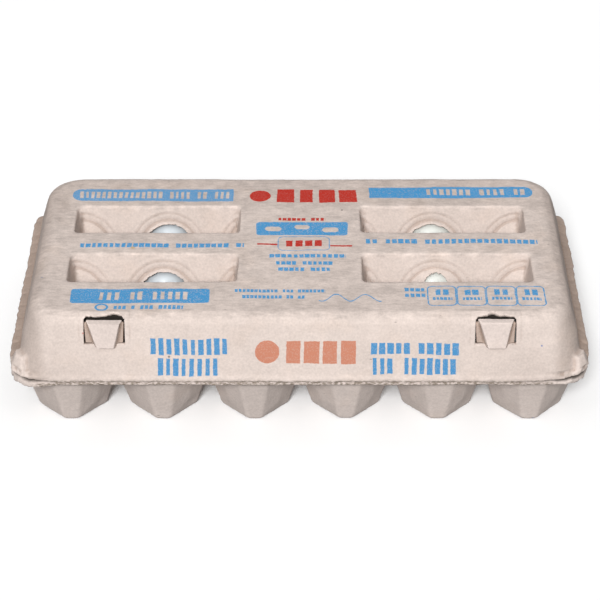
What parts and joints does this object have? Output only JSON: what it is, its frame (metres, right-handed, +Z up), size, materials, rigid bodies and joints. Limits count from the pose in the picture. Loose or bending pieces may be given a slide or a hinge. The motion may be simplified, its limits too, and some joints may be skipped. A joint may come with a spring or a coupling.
{
  "type": "egg carton",
  "caption": "Closed moulded-pulp egg carton full of eggs: lid with long recesses, small windows and latch slots, and a cupped tray whose latch tabs hold the lid shut.",
  "frame": {"origin": "on the floor under the middle of the carton", "axes": "+X along the long side, towards the right of the front; +Y towards the back, where lid and tray fold; +Z up"},
  "size_m": [0.302, 0.1594, 0.0681],
  "materials": {
    "lid_pulp": "matte",
    "tray_pulp": "matte",
    "egg_shell": "semi-gloss"
  },
  "bodies": {
    "root": {"lid": "lid_pulp", "tray": "tray_pulp", "egg_r1_c1": "egg_shell", "egg_r1_c2": "egg_shell", "egg_r1_c3": "egg_shell", "egg_r1_c4": "egg_shell", "egg_r1_c5": "egg_shell", "egg_r1_c6": "egg_shell", "egg_r2_c1": "egg_shell", "egg_r2_c2": "egg_shell", "egg_r2_c3": "egg_shell", "egg_r2_c4": "egg_shell", "egg_r2_c5": "egg_shell", "egg_r2_c6": "egg_shell", "egg_r3_c1": "egg_shell", "egg_r3_c2": "egg_shell", "egg_r3_c3": "egg_shell", "egg_r3_c4": "egg_shell", "egg_r3_c5": "egg_shell", "egg_r3_c6": "egg_shell"}
  },
  "joints": []
}
